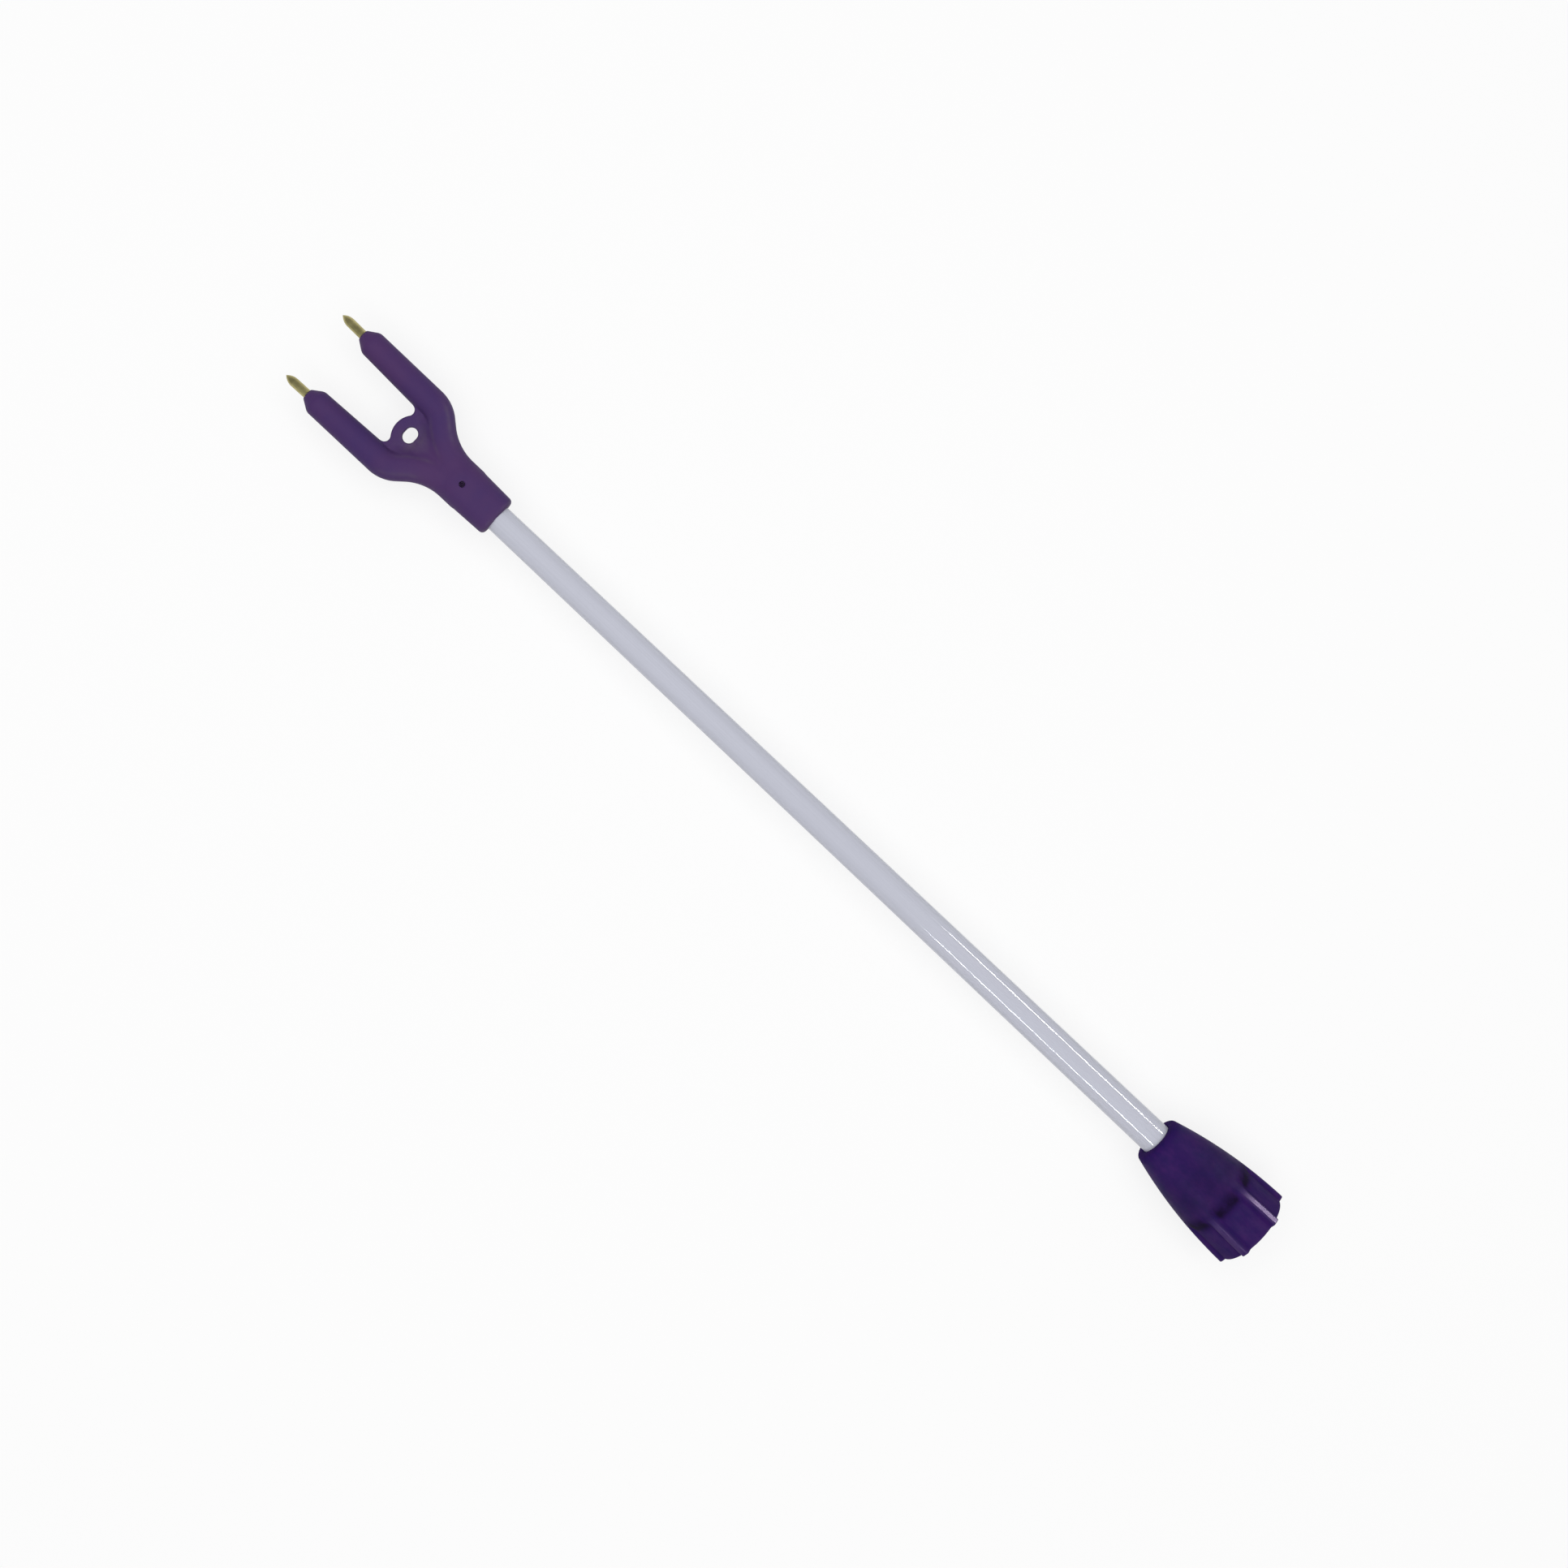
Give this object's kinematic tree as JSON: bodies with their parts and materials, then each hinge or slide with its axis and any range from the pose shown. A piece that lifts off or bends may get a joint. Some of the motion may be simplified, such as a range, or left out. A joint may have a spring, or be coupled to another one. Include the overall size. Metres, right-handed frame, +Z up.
{
  "type": "livestock prod shaft",
  "caption": "Replaceable shaft of an electric livestock prod: forked head with brass electrodes, tapered glass-fibre tube and a ribbed coupling nut that turns and slides on it.",
  "frame": {"origin": "centre of the coupling nut's mouth, on the shaft's axis", "axes": "+X along the shaft from the nut's mouth to the fork, +Y across the fork, +Z up, square to the fork's flat side"},
  "size_m": [0.5587, 0.0454, 0.037],
  "materials": {
    "fork_plastic": "moulded satin",
    "electrode_brass": "dull turned",
    "ferrule_steel": "tinned",
    "pin_steel": "blackened",
    "glass_fibre": "smooth resin",
    "lead_red": "soft sleeve",
    "lead_black": "soft sleeve",
    "copper": "bare wire",
    "plug_plastic": "moulded",
    "seal_rubber": "matt",
    "washer_plastic": "smooth",
    "nut_plastic": "glossy, translucent",
    "contact_brass": "turned",
    "spring_steel": "drawn wire"
  },
  "bodies": {
    "shaft": {"fork_head": "fork_plastic", "electrode_left": "electrode_brass", "electrode_right": "electrode_brass", "ferrule_left": "ferrule_steel", "ferrule_right": "ferrule_steel", "locking_pin": "pin_steel", "shaft_tube": "glass_fibre", "lead_left": "lead_red", "lead_right": "lead_black", "conductor_left": "copper", "conductor_right": "copper", "contact_plug": "plug_plastic", "seal_ring": "seal_rubber", "contact_spring_left": "spring_steel", "contact_spring_right": "spring_steel", "contact_terminal_left": "contact_brass", "contact_terminal_right": "contact_brass"},
    "washer": {"slip_washer": "washer_plastic"},
    "nut": {"coupling_nut": "nut_plastic"},
    "contact_left": {"contact_plunger_left": "contact_brass"},
    "contact_right": {"contact_plunger_right": "contact_brass"}
  },
  "joints": [
    {"name": "nut_slide", "type": "slide", "parent": "shaft", "child": "washer", "axis": [1, 0, 0], "range_m": [0, 0.393]},
    {"name": "nut_spin", "type": "hinge", "parent": "washer", "child": "nut", "pos_m": [0.03, 0, 0], "axis": [1, 0, 0], "continuous": true},
    {"name": "contact_left_press", "type": "slide", "parent": "shaft", "child": "contact_left", "axis": [1, 0, 0], "range_m": [0, 0.0016], "stiffness_N_per_m": 150, "springref_m": -0.001, "deforming": ["contact_spring_left"]},
    {"name": "contact_right_press", "type": "slide", "parent": "shaft", "child": "contact_right", "axis": [1, 0, 0], "range_m": [0, 0.0016], "stiffness_N_per_m": 150, "springref_m": -0.001, "deforming": ["contact_spring_right"]}
  ]
}
